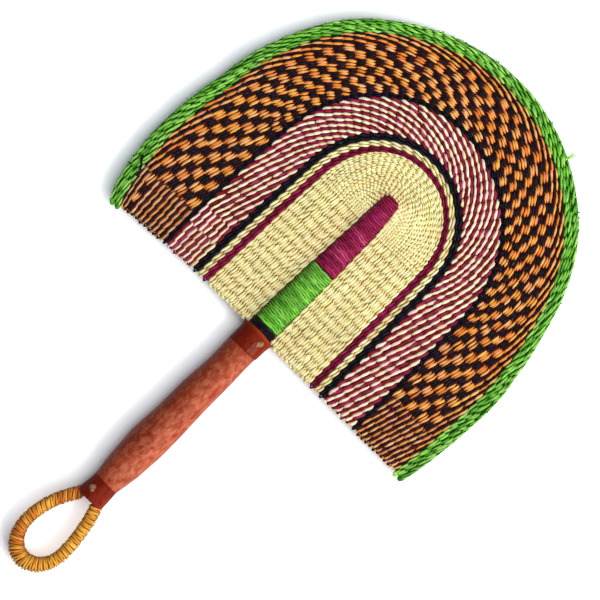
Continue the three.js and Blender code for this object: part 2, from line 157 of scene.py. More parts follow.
FIELD_TWINE = Twine(0.25, 0.36, 0.18, 0.08, 0.14, (0.96, 0.91, 0.76), dive=0.60, plump=0.55,
                    even=0.4)
RING_TWINE = Twine(0.24, 0.24, 0.30, 0.05, 0.06, (0.62, 0.56, 0.48))
STRIPED_TWINE = Twine(0.31, 0.21, 0.48, 0.10, 0.12, (0.92, 0.74, 0.70), dive=0.30, plump=0.9)
CHECK_TWINE = Twine(0.20, 0.33, 0.40, 0.10, 0.13, (0.95, 0.78, 0.62), dive=0.30, plump=0.85)
BORDER_TWINE = Twine(0.27, 0.22, 0.34, 0.14, 0.34, (0.30, 0.52, 0.16), dive=0.38, even=0.25)


class Tubes:
    """Gathers rows of closed tubes into one mesh, with a colour and a fibre direction."""

    def __init__(self):
        self.points, self.quads, self.caps = [], [], []
        self.tints, self.fibres = [], []
        self.count = 0

    def add(self, path, up, wide, high, tint, sides=STRAND_SIDES, seed=0, shade=None):
        """path is [tube, step, xyz], or just [step, xyz], up a direction there, and wide and
        high half sizes. shade gives how much of its red, green and blue a point keeps, as painted
        shade and light."""
        path = path.reshape(-1, *path.shape[-2:])
        tubes, steps = path.shape[:2]
        along = np.gradient(path, axis=1)
        along /= np.linalg.norm(along, axis=2, keepdims=True)
        across = np.cross(np.broadcast_to(up, path.shape), along)
        across /= np.linalg.norm(across, axis=2, keepdims=True)
        out = np.cross(along, across)
        turn = 2 * math.pi * (np.arange(sides) + 0.5) / sides
        wide = np.broadcast_to(wide, path.shape[:2])[..., None] * np.cos(turn)
        high = np.broadcast_to(high, path.shape[:2])[..., None] * np.sin(turn)
        ring = across[:, :, None] * wide[..., None] + out[:, :, None] * high[..., None]
        points = path[:, :, None] + ring
        self.points.append(points.reshape(-1, 3))
        step = np.linalg.norm(np.diff(path, axis=1), axis=2)
        length = np.concatenate([np.zeros((tubes, 1)), np.cumsum(step, axis=1)], axis=1)
        shift = np.random.default_rng(seed).uniform(0, FIBRE_SHIFT, (tubes, 1, 1))
        length = np.broadcast_to(length[..., None] / MM, wide.shape)
        fibre = np.stack([wide / MM + shift, high / MM, length + shift], axis=3)
        self.fibres.append(fibre.reshape(-1, 3))
        tint = np.broadcast_to(np.broadcast_to(tint, path.shape)[:, :, None], fibre.shape)
        tint = tint if shade is None else tint * shade(points)
        self.tints.append(tint.reshape(-1, 3))
        corner = np.arange(tubes * steps * sides).reshape(tubes, steps, sides) + self.count
        beside = np.roll(corner, -1, axis=2)
        quads = np.stack([corner[:, :-1], beside[:, :-1], beside[:, 1:], corner[:, 1:]], axis=3)
        self.quads.extend(quads.reshape(-1, 4).tolist())
        self.caps.extend(corner[:, 0, ::-1].tolist())
        self.caps.extend(corner[:, -1].tolist())
        self.count += tubes * steps * sides

    def piece(self, name, material):
        mesh = bpy.data.meshes.new(name)
        mesh.from_pydata(np.concatenate(self.points).tolist(), [], self.quads + self.caps)
        tint = mesh.attributes.new("tint", "FLOAT_COLOR", "POINT")
        colours = np.ones((self.count, 4), dtype=np.float32)
        colours[:, :3] = np.minimum(np.concatenate(self.tints), PALEST)
        tint.data.foreach_set("color", colours.ravel())
        fibre = mesh.attributes.new("fibre", "FLOAT_VECTOR", "POINT")
        fibre.data.foreach_set("vector", np.concatenate(self.fibres).astype(np.float32).ravel())
        return placed(name, mesh, material)


def linked(name, data):
    made = bpy.data.objects.new(name, data)
    bpy.context.scene.collection.objects.link(made)
    return made


def placed(name, mesh, material):
    mesh.shade_smooth()
    mesh.materials.append(material)
    return linked(name, mesh)


def dressed(piece, slot, *nodes):
    """Rides the piece on the fan's one body, in place of the nodes."""
    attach(piece, "root")
    if nodes:
        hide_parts(*nodes)


# Materials
def new_material(name, roughness, specular):
    material = bpy.data.materials.new(name)
    material.use_nodes = True
    tree = material.node_tree
    shader = tree.nodes["Principled BSDF"]
    shader.inputs["Roughness"].default_value = roughness
    shader.inputs["Specular IOR Level"].default_value = specular
    return material, tree, shader


def node(tree, kind, inputs=None, **settings):
    """Adds a node, with its settings, and its inputs set or linked by name or number."""
    made = tree.nodes.new(kind)
    for key, value in settings.items():
        setattr(made, key, value)
    for key, value in (inputs or {}).items():
        if isinstance(value, bpy.types.NodeSocket):
            tree.links.new(value, made.inputs[key])
        else:
            made.inputs[key].default_value = value
    return made


def noise(tree, vector, scale, detail=3, roughness=0.55):
    values = {"Vector": vector, "Scale": scale, "Detail": detail, "Roughness": roughness}
    return node(tree, "ShaderNodeTexNoise", values).outputs["Fac"]


def ranged(tree, value, low, high, start=0.3, end=0.7):
    values = {"Value": value, "From Min": start, "From Max": end, "To Min": low, "To Max": high}
    return node(tree, "ShaderNodeMapRange", values).outputs["Result"]


def mixed(tree, blend, factor, first, second):
    values = {0: factor, 6: first, 7: second}
    return node(tree, "ShaderNodeMix", values, data_type="RGBA", blend_type=blend).outputs[2]


def joined(tree, operation, first, second, kind="ShaderNodeMath"):
    return node(tree, kind, {0: first, 1: second}, operation=operation).outputs[0]


def scaled(tree, vector, scale):
    return joined(tree, "MULTIPLY", vector, scale, kind="ShaderNodeVectorMath")


def surface(tree, shader, roughness, pattern, height, depth):
    """Varies the roughness with the pattern, and adds the height as a fine relief."""
    rough = ranged(tree, pattern, roughness - 0.08, roughness + 0.12)
    tree.links.new(rough, shader.inputs["Roughness"])
    relief = node(tree, "ShaderNodeBump", {"Height": height, "Strength": 0.5, "Distance": depth})
    tree.links.new(relief.outputs["Normal"], shader.inputs["Normal"])


ALONG_STRAND = (1, 1, 0.09)  # a strand's streaks are drawn out along it


def grass_material(name, roughness=0.5, streaks=0.3, patches=0, blot=150, fleck_and_glint=0.3,
                   shaded_side=None):
    """Split grass, streaked along each strand and unevenly dyed in patches. Its pale flecks are
    partly split fibres and partly painted glints. It has painted shade to the left, and gets
    lighter between the two x of shaded_side."""
    material, tree, shader = new_material(name, roughness, specular=0.08)
    tint = node(tree, "ShaderNodeAttribute", attribute_name="tint").outputs["Color"]
    fibre = node(tree, "ShaderNodeAttribute", attribute_name="fibre").outputs["Vector"]
    drawn = scaled(tree, fibre, ALONG_STRAND)
    fine = noise(tree, drawn, 3.2)
    value = ranged(tree, fine, 1 - streaks, 1 + streaks * 0.6)
    broad = ranged(tree, noise(tree, drawn, 0.9, detail=2), 0.88, 1.1)
    value = joined(tree, "MULTIPLY", value, broad)
    place = node(tree, "ShaderNodeTexCoord").outputs["Object"]
    if patches:
        patch = ranged(tree, noise(tree, place, blot, detail=2), 1 - patches, 1 + patches * 0.6)
        value = joined(tree, "MULTIPLY", value, patch)
    # Painted shade: darker towards the left
    if shaded_side:
        across = node(tree, "ShaderNodeSeparateXYZ", {0: place}).outputs["X"]
        value = joined(tree, "MULTIPLY", value, ranged(tree, across, 0.25, 1, *shaded_side))
    shaded = node(tree, "ShaderNodeHueSaturation", {"Color": tint, "Value": value})
    # Pale flecks: partly split fibres, partly painted glints
    specks = noise(tree, drawn, 2.4, detail=1)
    fleck_and_glint_mask = ranged(tree, specks, 0, fleck_and_glint, 0.7, 0.78)
    flecked_and_glinting = mixed(tree, "MIX", fleck_and_glint_mask, shaded.outputs["Color"], (*FLECK_AND_GLINT, 1))
    tree.links.new(flecked_and_glinting, shader.inputs["Base Color"])
    surface(tree, shader, roughness, fine, fine, 0.2 * MM)
    return material


LIT_SIDE = (-10 * MM, 8 * MM)  # painted shade and light: the leather gets lighter between these x, darker on the left
ALONG_HANDLE = (1, 0.62, 1)  # its strokes are drawn out along the handle
MOTTLE = (0.66, 0.50, 0.40, 1)
LEATHER_ROUGHNESS = 0.5


def leather_material(name, deep, middle, light, specular=0.12, highlight_from=None):
    """Leather with worn strokes along the handle, mottles and a fine grain. It is painted darker
    to the left and lighter to the right as painted shade and light, and its light strokes are
    painted more on the right. It gets a painted highlight between the two y of highlight_from."""
    material, tree, shader = new_material(name, LEATHER_ROUGHNESS, specular)
    deep, middle, light = [(*linear(c), 1) for c in (deep, middle, light)]
    place = node(tree, "ShaderNodeTexCoord").outputs["Object"]
    axes = node(tree, "ShaderNodeSeparateXYZ", {0: place}).outputs
    drawn = scaled(tree, place, ALONG_HANDLE)
    strokes = noise(tree, drawn, 340, detail=3.5, roughness=0.6)
    tree.nodes[-1].inputs["Distortion"].default_value = 0.5
    clouds = noise(tree, drawn, 85, detail=2.5)
    grain = node(tree, "ShaderNodeTexVoronoi", {"Vector": place, "Scale": 900.0}).outputs["Distance"]
    specks = noise(tree, drawn, 360, detail=3.5)
    base = mixed(tree, "MIX", ranged(tree, clouds, 0, 1, 0.35, 0.65), deep, middle)
    # The strokes are real wear, and the x gradient added to them is painted light on the right
    rubbed_and_lit = joined(tree, "ADD", strokes, ranged(tree, axes["X"], -0.08, 0.06, *LIT_SIDE))
    worn_and_lit = mixed(tree, "MIX", ranged(tree, rubbed_and_lit, 0, 0.55, 0.40, 0.74), base, light)
    colour = mixed(tree, "MULTIPLY", ranged(tree, specks, 0, 0.6, 0.50, 0.70), worn_and_lit, MOTTLE)
    # Painted highlight towards the top edge
    if highlight_from:
        colour = mixed(tree, "MIX", ranged(tree, axes["Y"], 0, 0.75, *highlight_from), colour, light)
    # Painted shade on the left and painted light on the right
    lit_side = ranged(tree, axes["X"], 0.64, 1.12, *LIT_SIDE)
    shaded = node(tree, "ShaderNodeHueSaturation", {"Color": colour, "Value": lit_side})
    tree.links.new(shaded.outputs["Color"], shader.inputs["Base Color"])
    height = joined(tree, "ADD", grain, strokes)
    surface(tree, shader, LEATHER_ROUGHNESS, strokes, height, 0.4 * MM)
    return material


# The blade's edges, from the spine out. Each woven piece lies between two of them
def spine_radius(y):
    share = np.clip(y, 0, SPINE_TIP_Y) / SPINE_TIP_Y
    return SPINE_RADIUS - (SPINE_RADIUS - SPINE_TIP_RADIUS) * share ** 2


def drawn_in(y):
    """What is left of the spine's radius where its tip is rounded."""
    over = TIP_CURVE * np.clip((y - SPINE_TIP_Y) / TIP_ROUND + 1, 0, 1)
    return np.sqrt(1 - over ** 2)


def spine_x(y):
    """How far the spine's middle lies off the middle line at the height y."""
    return SPINE_LEAN * np.clip((y - SPINE_STRAIGHT) / (SPINE_TIP_Y - SPINE_STRAIGHT), 0, 1) ** 2


def spine_line(y):
    """Points of the spine's middle line at the heights y."""
    return placed_at(spine_x(y), y, 0)


def side_x(half, up):
    """How far out an edge of this half width lies, at the share up of the side's height."""
    outness = (half / HALF_WIDTH) ** 2
    swell = (1 - up) * (SIDE_SWELL * up - BASE_NARROWING)
    return half * (1 + outness * swell) + BASE_FLARE * (1 - up)


def outer_edge(name, squareness):
    """(left half width, right half width, tip height, squareness) of an outer edge."""
    low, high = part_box(name)
    halves = []
    for reach in (MIDDLE_X - low.x, high.x - MIDDLE_X):
        half = reach
        for _ in range(8):
            half += reach - side_x(half, np.linspace(0, 1, 41)).max()
        halves.append(half)
    return halves[0], halves[1], high.y - BASE_Y, squareness


# How far the rim lies outside an even one, in millimetres, at these angles about the middle
# of the blade, from its right side over the tip to its left
UNEVEN_AT = np.array([-20, -3, 6, 16, 26, 42, 70, 88, 110, 125, 140, 158, 182, 198, 212])
UNEVEN_OUT = np.array([0, 2.4, 0.2, -1.9, -0.4, 1.6, 1, 0, -0.9, -0.9, 0.1, -1.3, 0.8, 1.6, 0])
UNEVEN_MIDDLE = 90 * MM
UNEVEN_RADIUS = 127 * MM


def uneven(x, y):
    """Moves places near the rim out or in, since the fan is made by hand."""
    away = y - UNEVEN_MIDDLE
    angle = (np.degrees(np.arctan2(away, x)) + 90) % 360 - 90
    radius = np.maximum(np.hypot(x, away), MM)
    near_rim = np.clip(radius / UNEVEN_RADIUS, 0, 1) ** 6
    out = smooth_interp(angle, UNEVEN_AT, UNEVEN_OUT, spread=4) * MM * near_rim / radius
    return x + out * x, y + out * away


def blade_point(band, share, stake):
    """Points of the blade's middle plane, at this share of the band's width and this stake,
    counted from the left base corner over the tip."""
    inner, outer = EDGES[band], EDGES[band + 1]
    arch_stakes = BANDS[band].arch_stakes
    share, stake = np.broadcast_arrays(share, stake)
    past = stake - SIDE_STAKES + 0.5
    left, right = past < 0, past > arch_stakes
    from_base = np.where(left, past, np.where(right, arch_stakes - past, 0)) + SIDE_STAKES
    up = np.minimum(from_base / SIDE_STAKES, 1)
    angle = math.pi * (1 - past / arch_stakes)
    on_side = left | right
    on_left = np.where(on_side, left, np.cos(angle) < 0)
    inner_half = spine_radius(up * ARCH_Y) if band == 0 else np.where(on_left, inner[0], inner[1])
    half = inner_half + (np.where(on_left, outer[0], outer[1]) - inner_half) * share
    lean = share if band == 0 else 1
    x_side = half + (side_x(half, up) - half) * lean
    near_rim = np.clip(1 - (HALF_WIDTH - half - TUCK_RIM) / TUCK_WIDTH, 0, 1)
    tuck = LEFT_TUCK * near_rim ** 2 * np.exp(-from_base * ARCH_Y / SIDE_STAKES / TUCK_HEIGHT)
    x_side = np.where(left, tuck - x_side, x_side)
    hang = np.where(x_side < 0, -LEFT_DROOP, RIGHT_RISE) * (x_side / HALF_WIDTH) ** 2
    y_side = from_base * ARCH_Y / SIDE_STAKES + hang * np.clip(1 - up, 0, 1.1) ** 2
    tall = inner[2] + (outer[2] - inner[2]) * share - ARCH_Y
    power = inner[3] + (outer[3] - inner[3]) * share
    across = np.abs(np.cos(angle) / half) ** power
    reach = (across + np.abs(np.sin(angle) / tall) ** power) ** (-1 / power)
    x = np.where(on_side, x_side, reach * np.cos(angle))
    y = np.where(on_side, y_side, ARCH_Y + reach * np.sin(angle))
    if band == 0:
        x = x + spine_x(y) * (1 - share)
    return on_blade(*uneven(x, y))


def blade_wave(x, y):
    """The blade isn't quite flat."""
    return 0.5 * MM * np.sin(x * 31 + y * 17 + 0.6) + 0.4 * MM * np.sin(y * 43 - x * 12)


def on_blade(x, y):
    """Points of the wavy blade's middle plane, from places off the middle of the base line."""
    return placed_at(x, y, blade_wave(x + MIDDLE_X, y + BASE_Y))


def picked(rng, palette, shape):
    """A colour of the palette for each place, a little lighter or darker."""
    colour = palette[rng.integers(0, len(palette), shape)]
    return colour * rng.uniform(*TONES, (*shape, 1))


def strand_tints(rng, woven):
    """The strands' colours [row, strand, stake, rgb], and where they run on in one colour."""
    rows, stakes, palettes = woven.rows, woven.stakes, woven.palettes
    front = [picked(rng, p, (rows, stakes)) for p in palettes]
    places = (rows, stakes // COLOUR_RUN + 1)
    runs = [np.repeat(picked(rng, p, places), COLOUR_RUN, axis=1)[:, :stakes] for p in palettes]
    tones = [0.45 * own + 0.55 * shared for own, shared in zip(front, runs)]
    row, stake = np.indices((rows, stakes))
    shown, behind = woven.pattern(row, stake)
    tints = np.zeros((rows, 2, stakes, 3))
    for strand in range(2):
        on_front = (stake + strand) % 2 == 0
        tints[:, strand] = np.choose(np.where(on_front, shown, behind)[..., None], tones)
    return tints, (shown == behind) * float(len(palettes) > 1)


def row_ends(band):
    """Where the rows of a band start and end, in stakes."""
    start = BORDER_START if band == BORDER else BASE_START
    return start - 0.5, BANDS[band].stakes - 0.5 - start


def weave(band, material):
    """Twined rows, each of two strands that swap sides between the stakes."""
    woven = BANDS[band]
    rows, stakes, twine = woven.rows, woven.stakes, woven.twine
    rng = np.random.default_rng(11 + band)
    steps = stakes * (FEW_SAMPLES if rows == MANY_ROWS else SAMPLES) + 1
    stake = np.linspace(-0.5, stakes - 0.5, steps)
    row = np.arange(rows)[:, None, None]
    phase = math.pi * (stake + np.arange(2)[:, None])
    over, aside = np.cos(phase), np.sin(phase)
    nearest = np.clip(np.rint(stake).astype(int), 0, stakes - 1)
    tints, calm = strand_tints(rng, woven)
    tints += twine.even * (woven.palettes[0].mean(axis=0) - tints)
    tints, calm = tints[:, :, nearest], calm[:, None, nearest]

    def for_each_stake(least, most, strands=2):
        return rng.uniform(least, most, (rows, strands, stakes))[:, :, nearest]

    slow = rng.uniform(0, 2 * math.pi, (rows, 1, 4))
    waves = [np.sin(stake * rate + slow[..., i:i + 1]) for i, rate in enumerate(SLOW_WAVES)]
    share = row + 0.5 - twine.swing * (1 - 0.6 * calm) * aside + twine.wander * (waves[0] + waves[1])
    share = np.clip(share / rows, 0.2 / rows, 1 - 0.2 / rows)
    stray = 0.6 * (waves[2] + waves[3]) + 0.5 * for_each_stake(-1, 1, strands=1)
    past = np.clip((stake - SIDE_STAKES + 0.5) / woven.arch_stakes, 0, 1)
    over_tip = np.sin(math.pi * past) * (band == 0)
    place = stake + twine.drift * (1 + FIELD_STRAY * over_tip) * stray
    start, end = row_ends(band)
    place = np.clip(place, start, end) + 0.02 * (stake - np.clip(stake, start, end))
    path = blade_point(band, share, place)
    beside = blade_point(band, share + 0.5 / rows, place)
    pitch = 2 * np.linalg.norm((beside - path)[..., :2], axis=-1)
    tall = STRAND_HEIGHT * twine.plump
    lift = STAKE_RADIUS + tall * for_each_stake(*LIFTS)
    path[..., 2] += lift * np.sign(over) * np.abs(over) ** twine.dive
    full = np.abs(over) ** 0.7
    wide = pitch * (twine.slim + 0.14 * calm * (1 - full) + twine.fat * full)
    wide = wide * for_each_stake(*GIRTHS)
    high = np.broadcast_to(tall * (0.8 + 0.35 * np.abs(over)), wide.shape)
    flat = (rows * 2, steps)
    calm = np.broadcast_to(calm, wide.shape).reshape(*flat, 1, 1)

    # Painted shade: a strand's colour darkens towards the blade's middle plane, between the stakes
    # and between the rows, less in plain rows. Painted light: it gets lighter towards the blade's
    # tip.
    def shade(points):
        x, y, z = points[..., 0], points[..., 1], points[..., 2]
        height = np.abs(z - MIDDLE_Z - blade_wave(x, y)) / UNSHADED_OFFSET
        deep = twine.deep + (1 - twine.deep) * 0.6 * calm
        tip_lit = 1 + TIP_PAINTED_LIGHT * np.clip((y - BASE_Y) / SPINE_TIP_Y, 0, 1.4)
        return (deep + (1 - deep) * np.clip(height, 0, 1)[..., None] ** 0.9) * tip_lit[..., None]

    tubes = Tubes()
    tubes.add(path.reshape(*flat, 3), UP, wide.reshape(flat), high.reshape(flat),
              tints.reshape(*flat, 3), seed=11 + band, shade=shade)
    add_cores(tubes, band)
    add_turn_backs(tubes, rng, band)
    if band == BORDER:
        add_fuzz(tubes, rng, band)
        add_loose_ends(tubes)
    return tubes.piece(woven.name, material)


# The rim's loose fibres and its stubs of cut stakes: how many, how far they stand out in band
# widths, their radius, how many stakes they lean, and their darkest tone
FUZZ = [(420, 0.28, 0.13 * MM, 0.3, 0.8), (16, 0.3, 0.7 * MM, 0.08, 0.3)]
FUZZ_ROOT = 0.85


def add_fuzz(tubes, rng, band):
    """Short loose fibres that stand off the rim, and a few stubs of cut stakes."""
    q = np.linspace(0, 1, 4)
    for seed, (count, reach, radius, most_lean, darkest) in enumerate(FUZZ, start=1):
        root = rng.uniform(0, BANDS[band].stakes - 1, (count, 1))
        lean = rng.normal(0, most_lean, (count, 1))
        far = 0.9 + rng.uniform(0.3, 1, (count, 1)) * reach
        path = blade_point(band, FUZZ_ROOT + (far - FUZZ_ROOT) * q, root + lean * q ** 1.5)
        path[..., 2] += rng.uniform(-1.2, 1.2, (count, 1)) * MM
        tint = picked(rng, BANDS[band].palettes[0], (count, 1)) * rng.uniform(darkest, 1.1)
        tubes.add(path, UP, radius, radius, tint, sides=4, seed=seed)


def add_loose_ends(tubes):
    """A black strand that crosses the border near its left end, two black stubs there, and a
    dark stub and a tuft of pale fibres on the right side of the rim."""
    ends = list(LOOSE_ENDS)
    for spread in TUFT_SPREAD:
        bent = [(x + spread * share, y) for share, (x, y) in zip((0.5, 1, 2), TUFT)]
        ends.append((bent, TUFT_HALF, LOW, GREEN[2 + 2 * (spread > 0)]))
    for line, wide, rise, tint in ends:
        places = np.array(line) * MM
        q = np.linspace(0, 1, 9)
        at = np.linspace(0, 1, len(line))
        x, y = np.interp(q, at, places[:, 0]), np.interp(q, at, places[:, 1])
        path = on_blade(x, y)
        path[:, 2] += rise * MM
        tubes.add(path, UP, wide * MM, min(wide, 0.6) * MM, tint)


def add_cores(tubes, band):
    """The fibres in the middle of each row, which close the pits between its strands. Their
    colour is painted shade in the pits.
    """
    rows, stakes = BANDS[band].rows, BANDS[band].stakes
    stake = np.linspace(*row_ends(band), stakes)
    row = np.arange(rows)[:, None]
    path, edge = [blade_point(band, (row + off) / rows, stake) for off in (0.5, 1)]
    wide = np.linalg.norm((edge - path)[..., :2], axis=-1)
    tubes.add(path, UP, wide * 2 * CORE_WIDTH, CORE_HEIGHT, BANDS[band].dark, sides=4)


def add_turn_backs(tubes, rng, band):
    """Where a row ends at the base edge, its strands turn into the next row. The border's
    rows end in two thick turns."""
    rows, palettes = BANDS[band].rows, BANDS[band].palettes
    loops, reach, radius, least = rows - 1, 1 / rows, 0.6 * MM, 0.14
    if band == BORDER:
        loops, reach, radius, least = 2, 0.3, 1.25 * MM, 0.2
    q = np.linspace(0, 1, 9)
    row = np.arange(loops)[:, None]
    middle = (row + 0.5) / loops if band == BORDER else (row + 1) / rows
    share = middle + (q - 0.5) * reach
    bulge = rng.uniform(least, 0.3, (loops, 1)) * np.sin(math.pi * q)
    start, end = row_ends(band)
    for hand, stake in enumerate((start - bulge, end + bulge)):
        path = blade_point(band, share, stake)
        path[..., 2] += 0.8 * MM * np.cos(math.pi * q) * np.where(row % 2 == 0, 1, -1)
        first, last = picked(rng, palettes[0], (loops, 1)), picked(rng, palettes[-1], (loops, 1))
        tint = np.where(row[..., None] % 2 == 0, first, last)
        tubes.add(path, UP, radius, radius, tint, seed=hand)


# Places of the black stitch, the stubs and the tuft, as (x, y) from the middle of the base
# line, in millimetres
STITCH = [(-124.8, 25.6), (-122.4, 22.2), (-120.3, 19.8), (-118.6, 16.6), (-118.6, 14)]
UPPER_STUB = [(-126.4, 21.4), (-128.9, 21.2)]
LOWER_STUB = [(-126, 17), (-127.9, 16.4)]
RIGHT_STUB = [(81.6, 186.4), (84.5, 187.6)]
TUFT = [(53.2, 205.6), (54.3, 209.6), (54.8, 212.6)]
TUFT_SPREAD = [-0.9, -0.55, -0.2, 0.15, 0.5, 0.85]
TUFT_HALF = 0.22
LOW, ON_TOP = 0.3, 1.9  # how high they lie over the blade's middle
# Place, half width, height and colour
LOOSE_ENDS = [(STITCH, 0.7, ON_TOP, BLACK[0]), (UPPER_STUB, 0.7, LOW, BLACK[0]),
              (LOWER_STUB, 0.6, LOW, BLACK[0]), (RIGHT_STUB, 0.6, LOW, DARK_GREEN)]

# How often the checks have changed colours by each row, from the inner edge out
FLIPS = np.array([0, 0, 0, 1, 1, 1, 2, 2, 2, 3, 3, 3, 4, 4, 4, 5, 5, 5, 6, 7])
CHECKED_ON = (16, 17)  # rows that stay checked up to the left base corner
PINS_LEFT, PINS_RIGHT = 4, 5  # stakes from each base corner that carry pinstripes
PLAIN_STRIPES = 5  # stakes from the left base corner with plain striped rows
PLAIN_SHIFT = 3  # past this one of them the two colours change places


# Patterns: which palette each row shows over each stake, on the front and on the back
def all_one(row, stake):
    return 0 * row, 0 * row


def one_apart(row, stake):
    return (row + stake) % 2, (row + stake + 1) % 2


def left_plain(stake, count, plain, front, back):
    """The pattern, but plain over the first stakes from the left base corner."""
    return np.where(stake < count, plain, front), np.where(stake < count, plain, back)


def stripes(row, stake):
    """Cream and wine rows, set off by one stake each, but plain near the left base corner."""
    plain = (row + (stake >= PLAIN_SHIFT)) % 2
    return left_plain(stake, PLAIN_STRIPES, plain, *one_apart(row, stake))


def checks(row, stake):
    """0 is orange, 1 black, 2 peach and 3 dusky. Cells of three rows and one stake, except by
    the base: plain thin rows to the left, and to the right rows set off by one stake each."""
    cells = (FLIPS[row] + stake) % 2
    stepped = 2 + (row + stake) % 2
    by_right = stake > stake.max() - PINS_RIGHT
    front = np.where(by_right, stepped, cells)
    back = np.where(by_right, 5 - stepped, 1 - cells)
    front, back = left_plain(stake, PINS_LEFT, 2 + row % 2, front, back)
    checked_on = np.isin(row, CHECKED_ON) & (stake < PINS_LEFT)
    return np.where(checked_on, 1 - stake % 2, front), back


def rim_checks(row, stake):
    """The rim's rows go on as the pattern of the checks does at the base's left side."""
    return left_plain(stake, PINS_LEFT, 2 + row % 2, *one_apart(row, stake))


class Band:
    """A woven piece of the blade: its solid, its name, its rows, the stakes round its arch, how
    square its outer edge is, its palettes, pattern and twine, its colour deep down (painted
    shade for its cores and stakes), its slot."""
    PARTS = "cad name rows arch_stakes squareness palettes pattern twine dark slot".split()

    def __init__(self, *values):
        for part, value in zip(self.PARTS, values):
            setattr(self, part, value)
        self.stakes = 2 * SIDE_STAKES + self.arch_stakes
        self.edge = outer_edge(self.cad, self.squareness)


CHECKED = [ORANGE, SOOT, PEACH, DUSK]
BANDS = [Band(*values) for values in (
    ("natural_field", "natural_weave", 20, 34, 2.1, [STRAW], all_one, FIELD_TWINE, SHADED_STRAW,
     "natural_grass"),
    ("maroon_line", "maroon_rows", 2, 24, 2.05, [MAROON], all_one, RING_TWINE, SHADED_WINE,
     "maroon_grass"),
    ("natural_ring", "natural_rows", 2, 24, 2.04, [STRAW], all_one, RING_TWINE, SHADED_STRAW,
     "natural_grass"),
    ("black_ring", "black_rows", 2, 24, 2.08, [BLACK], all_one, RING_TWINE, BLACK[1],
     "black_grass"),
    ("striped_band", "striped_weave", 12, 40, 2.04, [CREAM, WINE], stripes, STRIPED_TWINE,
     SHADED_WINE, "striped_grass"),
    ("black_check_ring", "black_check_rows", 2, 54, 2.02, [BLACK], all_one, RING_TWINE, BLACK[1],
     "black_grass"),
    ("check_band", "check_weave", 20, 54, 1.96, CHECKED, checks, CHECK_TWINE, DARK_BROWN,
     "check_grass"),
    ("orange_rim", "rim_weave", 2, 54, 1.96, CHECKED, rim_checks, CHECK_TWINE, DARK_BROWN,
     "orange_grass"),
    ("green_border", "border_weave", 5, 54, 1.96, [GREEN], all_one, BORDER_TWINE, DARK_GREEN,
     "green_grass"),
)]
BORDER = len(BANDS) - 1
INNER_HALF = float(spine_radius(ARCH_Y))
EDGES = [(INNER_HALF, INNER_HALF, SPINE_TIP_Y, SPINE_SQUARENESS)] + [b.edge for b in BANDS]
STAKE_RUNS = [[0], [1], [2], [3], [4], [5], [6, 7], [BORDER]]  # bands that share stakes


def blade_pieces():
    straw = grass_material("natural_grass", 0.55, streaks=0.28, patches=0.1, blot=70)
    dyed = grass_material("dyed_grass")
    green = grass_material("green_grass", patches=0.25, blot=420, fleck_and_glint=0.1)
    for band, woven in enumerate(BANDS):
        material = straw if woven.palettes[0] is STRAW else green if band == BORDER else dyed
        dressed(weave(band, material), woven.slot, woven.cad)
    dressed(stake_piece(straw), "straw", "stakes")


def stake_piece(material):
    """The stiff straws under the rows. More of them are let in as the blade widens. Their
    colour is the band's colour deep down, a painted shade.
    """
    tubes = Tubes()
    for run in STAKE_RUNS:
        stakes = np.arange(BANDS[run[0]].stakes)[:, None]
        parts = []
        for band in run:
            share = np.linspace(0.05 if band == 0 else 0, 0.8 if band == BORDER else 1, 5)
            parts.append(blade_point(band, share if band == run[-1] else share[:-1], stakes))
        path = np.concatenate(parts, axis=1)
        tubes.add(path, UP, 1.1 * MM, STAKE_RADIUS, BANDS[run[0]].dark, seed=run[0])
    return tubes.piece("stake_straws", material)


# Spine and its wraps
def wound(tubes, rng, start, end, turns, palette):
    """A strand wound round the spine, each turn against the last."""
    pitch = (end - start) / turns
    turn = np.linspace(0, turns, turns * TURN_STEPS + 1)
    stray = 0.16 * np.sin(turn * 12.4) + 0.13 * np.sin(turn * 39) + 0.06 * np.sin(turn * 61)
    y = start + pitch / 2 + (end - start - pitch) * turn / turns + pitch * stray
    rise = 0.16 * MM * np.sin(turn * 16.3) + 0.07 * MM * np.sin(turn * 53)
    radius = spine_radius(y) * drawn_in(y) - WRAP_HALF + rise
    angle = math.pi - 2 * math.pi * turn
    out = np.stack([np.cos(angle), 0 * angle, np.sin(-angle)], axis=1)
    path = out * radius[:, None] + spine_line(y)
    # The colour changes three times in each turn
    third = np.floor(turn * 3 + 0.25).astype(int)
    tint = picked(rng, palette, (third.max() + 1,))
    tint = (0.6 * tint + 0.4 * palette.mean(axis=0))[third]
    wide = pitch * 0.46 * (1 + 0.2 * np.sin(turn * 8.7))
    tubes.add(path, out, wide, WRAP_HALF, tint, seed=turns)


def spine_pieces():
    # The wrap gets painted shade on its left side.
    dyed = grass_material("wound_grass", 0.45, streaks=0.5, patches=0.34, blot=170, fleck_and_glint=0.2,
                          shaded_side=(-9.6 * MM, -5.8 * MM))
    joins = [COLLAR_RISE - WRAP_START]
    joins += [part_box(n)[1].y - BASE_Y + WRAP_PAST for n in ("black_wrap", "green_wrap")]
    joins.append(SPINE_TIP_Y)
    specs = [
        ("black_winding", 4, BLACK, "black_grass", "black_wrap"),
        ("green_winding", 30, GREEN[:3], "green_grass", "green_wrap"),
        ("purple_winding", 37, PURPLE, "purple_grass", "purple_wrap"),
    ]
    for i, (name, turns, palette, slot, cad) in enumerate(specs):
        tubes = Tubes()
        rng = np.random.default_rng(40 + i)
        wound(tubes, rng, joins[i] - WRAP_LAP, joins[i + 1] + WRAP_LAP, turns, palette)
        # The wrap's first layer is darkened to a painted shade between the turns.
        add_under_wrap(tubes, joins[i], joins[i + 1], palette.mean(axis=0) * 0.26)
        if cad == "purple_wrap":
            add_tip_button(tubes, palette.mean(axis=0) * 0.6)
        dressed(tubes.piece(name, dyed), slot, cad)
    dressed(bundle_piece(), "straw", "straw_bundle")


